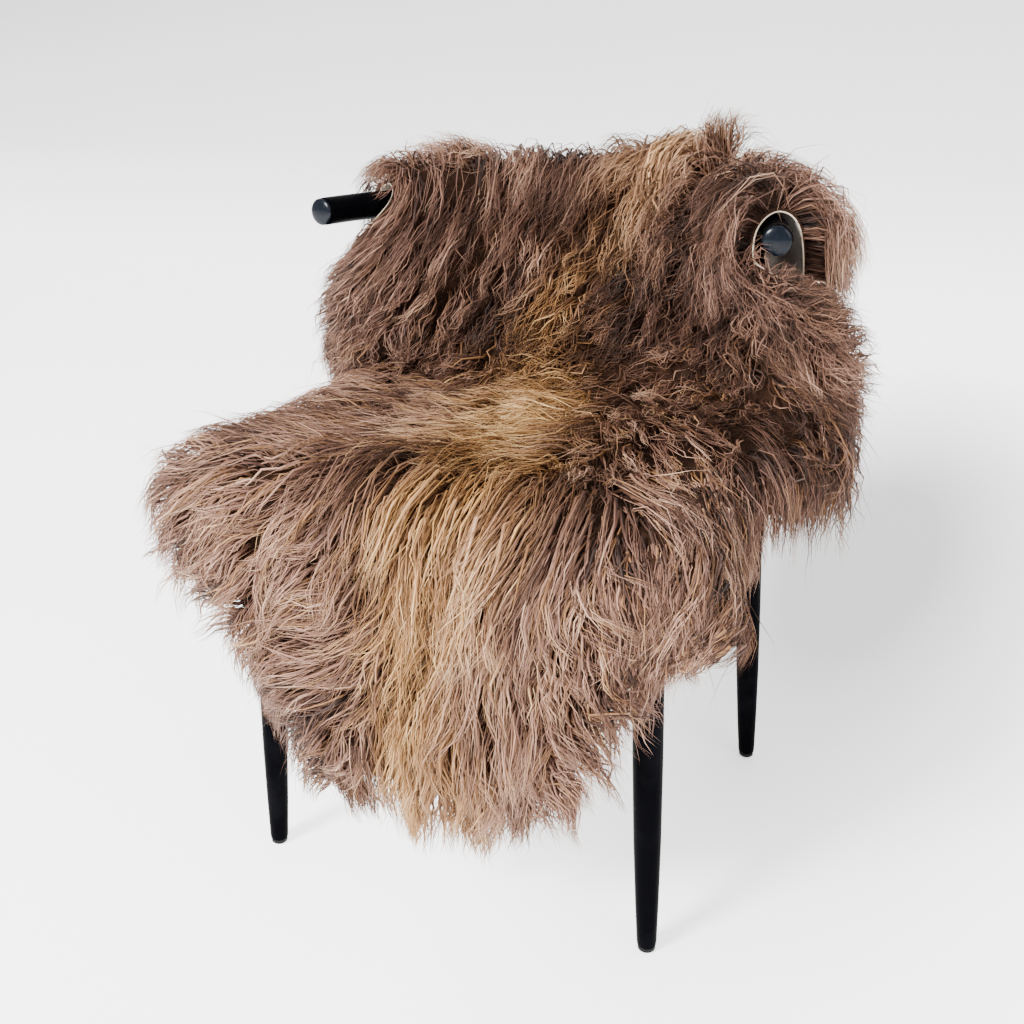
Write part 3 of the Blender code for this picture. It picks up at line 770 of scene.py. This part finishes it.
def tints_for(across, place, spread):
    """Each strand's tone with its painted shade and light, how golden it is, and a random value for its
    streaks.
    """
    count = len(across)
    stripe = gold_at(across, place)
    gold = stripe + 0.40 * noise_at(across, place, 26, 8.8) * stripe**0.5
    gold += 0.50 * (rng.uniform(0, 1, count) < STRAY_GOLD) * smooth((10.5 - place) / 3.0)
    gold += 0.30 * np.clip(noise_at(across, place, 30, 2.2) - 0.35, 0, 1)
    tone_and_shade = BASE_TONE + 0.12 * stripe + 0.16 * noise_at(across, place, 9, 1.4)
    tone_and_shade = tone_and_shade + 0.08 * noise_at(across, place, 34, 3.7) + rng.normal(0, spread, count)
    # Painted shade in the partings and over the inside of the back; painted light where a depth is below 0.
    tone_and_shade -= painted_shade_at(across, place)
    tone_and_shade -= 0.12 * fuzz_at(across, place)
    seed = rng.uniform(0, 1, count)
    return {"tone_and_shade": np.clip(tone_and_shade, 0, 1.2), "gold": np.clip(gold, 0, 1), "seed": seed}


# Painted shade where the wool parts and its shaded inside shows: across, place, their reaches
# and depth. A depth below 0 is painted light instead, which makes the wool paler there.
PAINTED_PARTING_SHADE = (
    (0.12, 8.1, 0.16, 0.35, 0.60), (0.16, 9.30, 0.18, 0.55, 0.62), (-0.18, 10.5, 0.22, 0.45, 0.50),
    (-0.30, 9.0, 0.10, 1.20, 0.25), (-0.65, 10.7, 0.25, 0.50, 0.40), (0.38, 11.0, 0.10, 0.30, 0.35),
    (0.75, 11.4, 0.20, 0.25, 0.35), (0.20, 7.4, 0.12, 0.30, 0.25),
    (0.70, 6.9, 0.35, 0.80, 0.34), (0.08, 4.3, 0.30, 0.70, 0.40), (0.50, 2.2, 0.45, 1.60, -0.10),
    (0.10, 12.0, 0.90, 0.50, -0.08), (0.38, 11.8, 0.16, 0.60, -0.20),
)


def painted_shade_at(across, place):
    """How much darker the wool is painted than on the seat: painted shade over the inside of the back and
    in the partings, painted light where a depth is below 0.
    """
    # Painted shade over the inside of the back.
    shade = 0.14 * smooth((place - 7.4) / 1.2) * smooth((12.0 - place) / 1.0)
    for a, p, reach_a, reach_p, depth in PAINTED_PARTING_SHADE:
        shade = shade + depth * np.exp(-(((across - a) / reach_a) ** 2) - ((place - p) / reach_p) ** 2)
    return shade


REGIONS = (
    # name, first place, last place, tufts, locks, hairs
    ("front_flap", 0.0, 4.0, 420, 2650, 3500),
    ("seat", 4.0, 7.85, 440, 2700, 3400),
    ("inner_back", 7.85, 11.9, 560, 2550, 3800),
    ("behind", 11.9, 15.0, 360, 2150, 2300),
)
LOCK_RINGS, HAIR_RINGS = 7, 6


LENGTH_PLACES = (0, 1, 2, 4, 7, 8.5, 11, 12.2, 15)
LENGTHS = (0.084, 0.100, 0.108, 0.105, 0.095, 0.088, 0.085, 0.085, 0.092)


def lengths_for(across, place, count):
    """The wool's length at its roots: longest on the front flap, shortest where felted."""
    base = np.interp(place, LENGTH_PLACES, LENGTHS)
    base = base * (1 - 0.38 * fuzz_at(across, place)) * (1 + 0.22 * noise_at(across, place, 16, 6.3))
    return base * rng.uniform(0.75, 1.2, count)


# Tufts that stand higher: across, place, reach in metres and height.
TUFTS = (
    (0.36, 12.0, 0.060, 0.036),
    (0.05, 12.0, 0.060, 0.016),
    (0.95, 13.8, 0.110, 0.028),
    (-0.40, 12.1, 0.120, 0.012),
)


def tuft_at(across, place):
    """How much higher the wool stands than the pile."""
    height = np.zeros_like(across)
    for a, p, reach, rise in TUFTS:
        away = np.hypot((across - a) * half_width(across, place), (place - p) * 0.08) / reach
        height += rise * np.exp(-(away**2))
    return height


def rim_roots(count, low, high):
    """Roots close to the pelt's side edges, but not where the bar's ends come out."""
    place = rng.uniform(low, high, count)
    side = np.where(rng.uniform(0, 1, count) < 0.5, -1.0, 1.0)
    across = side * (1 - rng.uniform(0.002, 0.030, count) / half_width(side, place))
    bare_left = (side < 0) & (place > 10.8) & (place < 12.6)
    bare_right = (side > 0) & (place > 10.6) & (place < 14.2)
    keep = ~(bare_left | bare_right)
    return across[keep], place[keep]


# Bunches with a lie of their own: across, place, their spreads, number of locks, degrees,
# length, lift, how far the tips curl back round the edge, and how closely they gather.
LOCKS, DEGREES, LENGTH, LIFT, CURL = range(4, 9)
BUNCHES = (
    # below the right bar end, out over the edge of the notch
    (0.965, 10.18, 0.030, 0.13, 260, 88, 0.060, 0.020, 0.026, 0.0),
    (0.960, 9.70, 0.035, 0.28, 240, 88, 0.062, 0.022, 0.030, 0.0),
    (0.960, 9.10, 0.035, 0.30, 130, 70, 0.060, 0.026, 0.012, 0.0),
    # the right side, down and out
    (0.930, 7.80, 0.045, 0.42, 260, 32, 0.112, 0.036, 0.0, 0.15),
    (0.930, 7.00, 0.045, 0.35, 120, 42, 0.092, 0.026, 0.0, 0.15),
    # swirl where the seat meets the back
    (0.00, 7.20, 0.07, 0.22, 130, -35, 0.085, 0.050, 0.0, 0.4),
    (0.10, 6.60, 0.08, 0.30, 130, -75, 0.095, 0.046, 0.0, 0.4),
    # the crest, from the left bar to the right
    (-0.950, 11.95, 0.022, 0.22, 110, -94, 0.072, 0.026, -0.010, 0.35),
    (-0.80, 12.15, 0.06, 0.16, 110, -112, 0.080, 0.048, 0.0, 0.3),
    (-0.60, 12.00, 0.10, 0.18, 170, -100, 0.080, 0.066, 0.0, 0.3),
    (-0.30, 12.00, 0.10, 0.16, 170, -40, 0.094, 0.072, 0.0, 0.3),
    (-0.08, 12.00, 0.10, 0.16, 230, -30, 0.096, 0.082, 0.0, 0.3),
    (0.16, 12.00, 0.08, 0.15, 190, -50, 0.094, 0.084, 0.0, 0.3),
    (0.27, 10.95, 0.065, 0.22, 240, 157, 0.116, 0.050, -0.044, 0.4),
    (0.43, 12.00, 0.045, 0.10, 170, 85, 0.116, 0.128, 0.0, 0.6),
    (0.60, 12.10, 0.08, 0.20, 170, 110, 0.085, 0.064, 0.0, 0.3),
    (0.80, 12.25, 0.06, 0.20, 150, 120, 0.085, 0.056, 0.0, 0.3),
    (0.90, 12.50, 0.02, 0.06, 14, 105, 0.120, 0.095, 0.0, 0.5),
    # behind the right bar end
    (0.930, 13.00, 0.045, 0.42, 420, 155, 0.100, 0.070, 0.0, 0.1),
    # the left edge of the back
    (-0.945, 9.30, 0.040, 0.45, 200, -72, 0.084, 0.034, 0.0, 0.1),
    (-0.945, 10.20, 0.040, 0.25, 110, -55, 0.070, 0.030, 0.0, 0.1),
    (-0.930, 8.40, 0.050, 0.35, 100, -70, 0.080, 0.030, 0.0, 0.1),
    # swept tufts on the inside of the back
    (-0.10, 8.80, 0.05, 0.50, 110, -45, 0.085, 0.046, 0.0, 0.3),
    (0.30, 10.40, 0.06, 0.50, 130, -55, 0.090, 0.050, 0.0, 0.3),
    # points of the front hem
    (0.00, 0.50, 0.060, 0.25, 180, -8, 0.132, 0.020, 0.0, 0.8),
    (-0.80, 0.45, 0.080, 0.20, 100, -4, 0.098, 0.018, 0.0, 0.5),
    (0.38, 0.45, 0.060, 0.20, 110, 20, 0.104, 0.018, 0.0, 0.6),
    (0.68, 0.45, 0.060, 0.20, 100, 10, 0.094, 0.018, 0.0, 0.6),
    (0.94, 0.45, 0.045, 0.20, 90, 16, 0.084, 0.018, 0.0, 0.5),
)


def bunch_roots(low, high):
    """Roots of the bunches between two places, with each lock's row of the table."""
    found = np.array([b for b in BUNCHES if low <= b[1] < high])
    rows = np.repeat(found, found[:, LOCKS].astype(int), axis=0)
    bunch = np.repeat(np.arange(len(found)), found[:, LOCKS].astype(int))
    total = len(rows)
    a = rows[:, 0] + rows[:, 2] * rng.normal(0, 1, total)
    a = np.where(np.abs(a) > 0.995, np.sign(a) * rng.uniform(0.955, 0.995, total), a)
    p = np.clip(rows[:, 1] + rows[:, 3] * rng.normal(0, 1, total), 0.05, LAST - 0.05)
    return a, p, rows, bunch


def close_at(across, place):
    """1 where the wool hangs close, down the right of the seat, else 0."""
    right = smooth((across - 0.30) / 0.35)
    return right * smooth((place - 1.8) / 1.0) * smooth((6.8 - place) / 0.8)


# How curly the wool is by place, and the widths of the locks in metres.
CURL_PLACES = (0, 4, 7.5, 8.5, 12, 15)
CURL_SHARES = (0.36, 0.36, 0.5, 1.0, 0.9, 0.7)
LEAST_WIDTH, MOST_WIDTH, FLATNESS = 0.0005, 0.0028, 0.40
TUFT_REACH, CLOSE_SHARE = 0.024, 0.62


def lock_roots(low, high, count):
    """Roots of the scattered locks, of the rim's and of the bunches', with their own lies."""
    a, p = scatter(count, low, high)
    rim_a, rim_p = rim_roots(count // 6, low, high)
    outward = np.concatenate((np.zeros(count), rng.uniform(0.55, 0.95, len(rim_a))))
    own_a, own_p, rows, bunch = bunch_roots(low, high)
    a, p = np.concatenate((a, rim_a, own_a)), np.concatenate((p, rim_p, own_p))
    outward = np.concatenate((outward, np.zeros(len(own_a))))
    outward *= 1 - 0.75 * close_at(a, p)
    heading = np.full(len(a), np.nan)
    heading[len(a) - len(own_a):] = np.radians(rows[:, DEGREES] + rng.normal(0, 16, len(own_a)))
    return a, p, outward, heading, rows, bunch


def lock_paths(a, p, outward, heading, rows):
    """The locks' paths before they gather, as grow gives them, and their lengths."""
    count, own = len(a), slice(len(a) - len(rows), None)
    length = lengths_for(a, p, count) * (1 - 0.25 * (outward > 0))
    lift = pile_height(a, p) * rng.uniform(0.40, 1.02, count)
    lift = lift + tuft_at(a, p) * rng.uniform(0.4, 1.1, count)
    crest_rise = near_place(p, CREST_PLACE, 0.7)
    lift *= 1 + 0.35 * crest_rise
    lift *= 1 - CLOSE_SHARE * close_at(a, p)
    length[own] = rows[:, LENGTH] * rng.uniform(0.72, 1.15, len(rows))
    least = np.where(rows[:, LIFT] > 0.1, 0.78, 0.30)
    lift[own] = rows[:, LIFT] * rng.uniform(least, 1.08)
    turn = 0.50 * noise_at(a, p, 14, 5.5) + rng.normal(0, 0.15, count)
    turn = turn + fuzz_at(a, p) * rng.normal(0, 0.6, count)
    stand = lift * (0.62 - 0.22 * crest_rise)
    return *grow(a, p, length, lift, turn, stand, LOCK_RINGS, outward, heading), length


def tuft_paths(a, p):
    """Paths of the tufts that locks gather to. Along the crest some stand upright."""
    count = len(a)
    length = lengths_for(a, p, count) * 1.08
    lift = pile_height(a, p) * rng.uniform(0.7, 1.0, count) + tuft_at(a, p)
    lift *= 1 - CLOSE_SHARE * close_at(a, p)
    upright = near_place(p, CREST_PLACE, 0.65) * rng.uniform(0.0, 0.75, count)
    lift += upright * (0.98 * length - lift).clip(0, None)
    turn = 0.50 * noise_at(a, p, 14, 5.5) + rng.normal(0, 0.30, count)
    return grow(a, p, length, lift, turn, lift * (0.62 - 0.3 * upright), LOCK_RINGS)[0]


def gather_bunches(points, ups, rows, bunch):
    """Curls the tips of each bunch back round the edge and draws its locks together."""
    run = np.linspace(0, 1, LOCK_RINGS)
    first = len(points) - len(rows)
    for number in range(bunch.max() + 1):
        member = first + np.flatnonzero(bunch == number)
        curl, gather = rows[member[0] - first, CURL:]
        points[member] -= ups[member] * (curl * run**1.5)[None, :, None]
        core = points[member].mean(0)
        points[member] += (core - points[member]) * (gather * run**1.3)[None, :, None]


def pull_to_tufts(points, place, tuft_points, tuft_place, loose):
    """Draws each loose lock's tip to the nearest tuft on its side of the crest."""
    apart = np.linalg.norm(points[:, None, 0] - tuft_points[None, :, 0], axis=-1)
    apart += 1.0 * (goes_behind(place)[:, None] != goes_behind(tuft_place)[None, :])
    nearest = apart.argmin(1)
    pull = 0.88 * np.linspace(0, 1, LOCK_RINGS) ** 1.3
    pull = pull[None, :, None] * (smooth(1.7 - apart.min(1) / TUFT_REACH) * loose)[:, None, None]
    return points + (tuft_points[nearest] - points) * pull, nearest


def make_hairs(name, count, points, ups, length, curly, tints):
    """Single hairs, each beside a lock and much like it. One in ten strays."""
    parent = rng.integers(0, len(points), count)
    at = np.linspace(0, LOCK_RINGS - 1, HAIR_RINGS)
    i = np.minimum(at.astype(int), LOCK_RINGS - 2)
    f = (at - i)[None, :, None]
    hairs = points[parent][:, i] * (1 - f) + points[parent][:, i + 1] * f
    ups = ups[parent][:, i]
    _, side = frame_of(hairs, ups)
    run = np.linspace(0, 1, HAIR_RINGS)[None, :]
    spread = rng.normal(0, 0.0052, count)[:, None] * (1 - 0.45 * run)
    spread = spread + rng.normal(0, 0.006, count)[:, None] * run**2
    rise = np.abs(rng.normal(0.0015, 0.0025, count))[:, None] * (0.3 + run)
    strays = (rng.uniform(0, 1, count) < 0.10)[:, None]
    stray = strays * rng.normal(0, 0.016, count)[:, None] * run**1.6
    hairs = hairs + side * (spread + stray)[..., None] + ups * (rise + np.abs(stray) * 0.7)[..., None]
    crest = rng.uniform(0.0006, 0.0026, count) * (0.7 + 0.9 * curly[parent])
    wavelength, phase = rng.uniform(0.040, 0.070, count), rng.uniform(0, 6.3, count)
    hairs = wave(hairs, ups, length[parent], crest, wavelength, phase)
    width = rng.uniform(0.00035, 0.00075, count)
    tints = {key: value[parent] for key, value in tints.items()}
    # Painted highlight: the hairs are painted paler than their locks, as the strands lying on top catch the
    # light.
    tints["tone_and_shade"] = np.clip(tints["tone_and_shade"] + rng.normal(0.10, 0.16, count), 0, 1.3)
    tints["seed"] = rng.uniform(0, 1, count)
    return weave_strands(name, hairs, ups, width, width, tints, hair_finish)


def make_region(name, low, high, tufts, locks, hairs):
    """A region's two pieces: its locks and the hairs over them."""
    tuft_a, tuft_p = scatter(tufts, low, high)
    a, p, outward, heading, rows, bunch = lock_roots(low, high, locks)
    count = len(a)
    points, ups, middle, length = lock_paths(a, p, outward, heading, rows)
    tuft_points = tuft_paths(tuft_a, tuft_p)
    gather_bunches(points, ups, rows, bunch)
    loose = (1 - outward) * np.isnan(heading)
    points, nearest = pull_to_tufts(points, p, tuft_points, tuft_p, loose)
    tuft_tone = rng.normal(0, 0.15, tufts)[nearest]

    curly = np.interp(p, CURL_PLACES, CURL_SHARES)
    crest = (0.0016 + 0.0030 * curly) * rng.uniform(0.5, 1.5, count)
    wavelength = (0.064 - 0.022 * curly) * rng.uniform(0.8, 1.25, count)
    wavelength = wavelength * (1 - 0.35 * fuzz_at(a, p))
    phase = rng.uniform(0, 2 * pi, count)
    points = wave(points, ups, length, crest, wavelength, phase)
    width = np.minimum(rng.gamma(3.4, 0.00031, count) + LEAST_WIDTH, MOST_WIDTH)
    tints = tints_for(*middle, 0.18)
    tints["tone_and_shade"] = np.clip(tints["tone_and_shade"] + tuft_tone, 0, 1.3)
    woven = weave_strands(f"locks_{name}", points, ups, width, width * FLATNESS, tints, lock_finish)
    return woven, make_hairs(f"hairs_{name}", hairs, points, ups, length, curly, tints)


wool_pieces = {region[0]: make_region(*region) for region in REGIONS}
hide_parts("wool_front_hem", "wool_left_1", "wool_right_1")
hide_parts("wool_left_2", "wool_left_3", "wool_right_2", "wool_right_3")
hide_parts("wool_left_4", "wool_right_4")
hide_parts("wool_back_hem", "wool_left_5", "wool_right_5")


# ---------------------------------------------------------------- floor and light
# A plain pale studio sweep that curves up behind. Its glow is painted light, darker upwards,
# with a painted shadow of the chair to the right.
# A large soft light stands at the upper left and a weaker one at the right.
sweep_finish = Finish("studio_sweep", Emission_Strength=2.6)
mottle = sweep_finish.cloud(sweep_finish.place(), 1.4, 2.0)
# Painted light: the sweep's glow is brightest on the floor and fades up the wall.
height = sweep_finish.node("SeparateXYZ", {}, {"Vector": sweep_finish.place()}, "Z")
by_height = ((0.0, (1.0, 1.0, 1.0)), (0.35, (0.46, 0.46, 0.46)), (1.0, (0.13, 0.13, 0.13)))
painted_light_by_height = sweep_finish.ramp(height, *by_height)
# Painted shadow: a soft dark patch in the glow behind the chair and to its right, where the chair shades
# the sweep.
spot = sweep_finish.node("TexCoord", {}, {}, "Object")
sockets = {"Vector": spot, "Location": (-0.55, -0.62, 0), "Scale": (2.1, 0.66, 1)}
near_shade = sweep_finish.node("Mapping", {}, sockets)
painted_shadow_pool = sweep_finish.node("TexGradient", {"gradient_type": "SPHERICAL"}, {"Vector": near_shade}, "Fac")
painted_shadow_mask = sweep_finish.ramp(painted_shadow_pool, (0.0, (0, 0, 0)), (0.75, (1, 1, 1)))
sweep_finish.paint(
    Base_Color=sweep_finish.ramp(mottle, (0.3, (0.90, 0.90, 0.90)), (0.7, (0.93, 0.93, 0.93))),
    Roughness=mottle * 0.05 + 0.85,
    Emission_Color=sweep_finish.blend(painted_shadow_mask, painted_light_by_height, (0.04, 0.04, 0.04, 1)),
)
FLOOR_REACH, BEND_START = 6.0, 3.0
BEND_STEPS, BEND_STEP_LENGTH, WALL_HEIGHT = 12, 0.26, 5.0
bm = bmesh.new()
bmesh.ops.create_grid(bm, x_segments=1, y_segments=1, size=FLOOR_REACH)
back = [v for v in bm.verts if v.co.y > BEND_START]
edge = [e for e in bm.edges if all(v in back for v in e.verts)]
bmesh.ops.translate(bm, vec=(0, BEND_START - FLOOR_REACH, 0), verts=back)
for number in range(BEND_STEPS):
    made = bmesh.ops.extrude_edge_only(bm, edges=edge)
    turn = radians(90) * (number + 0.5) / BEND_STEPS
    verts = [v for v in made["geom"] if isinstance(v, bmesh.types.BMVert)]
    step = (0, BEND_STEP_LENGTH * cos(turn), BEND_STEP_LENGTH * sin(turn))
    bmesh.ops.translate(bm, vec=step, verts=verts)
    edge = [e for e in made["geom"] if isinstance(e, bmesh.types.BMEdge)]
    edge = [e for e in edge if all(v in verts for v in e.verts)]
made = bmesh.ops.extrude_edge_only(bm, edges=edge)
verts = [v for v in made["geom"] if isinstance(v, bmesh.types.BMVert)]
bmesh.ops.translate(bm, vec=(0, 0, WALL_HEIGHT), verts=verts)
bmesh.ops.recalc_face_normals(bm, faces=bm.faces)
floor_mesh = bpy.data.meshes.new("floor")
bm.to_mesh(floor_mesh)
bm.free()
floor_mesh.shade_smooth()
floor = bpy.data.objects.new("floor", floor_mesh)
floor_mesh.materials.append(sweep_finish.material)
bpy.context.scene.collection.objects.link(floor)


def soft_light(name, place, target, size, power):
    data = bpy.data.lights.new(name, "AREA")
    data.shape = "DISK"
    data.size = size
    data.energy = power
    lamp = bpy.data.objects.new(name, data)
    lamp.location = place
    lamp.rotation_euler = (Vector(target) - Vector(place)).to_track_quat("-Z", "Y").to_euler()
    bpy.context.scene.collection.objects.link(lamp)


soft_light("key", (-1.1, -2.8, 2.1), (0, 0, 0.45), 1.0, 330)
soft_light("fill", (2.4, -1.2, 1.8), (0, 0, 0.4), 2.0, 45)
world = bpy.data.worlds.new("studio")
world.use_nodes = True
world.node_tree.nodes["Background"].inputs["Color"].default_value = (1.0, 1.0, 1.0, 1)
world.node_tree.nodes["Background"].inputs["Strength"].default_value = 1.15
bpy.context.scene.world = world
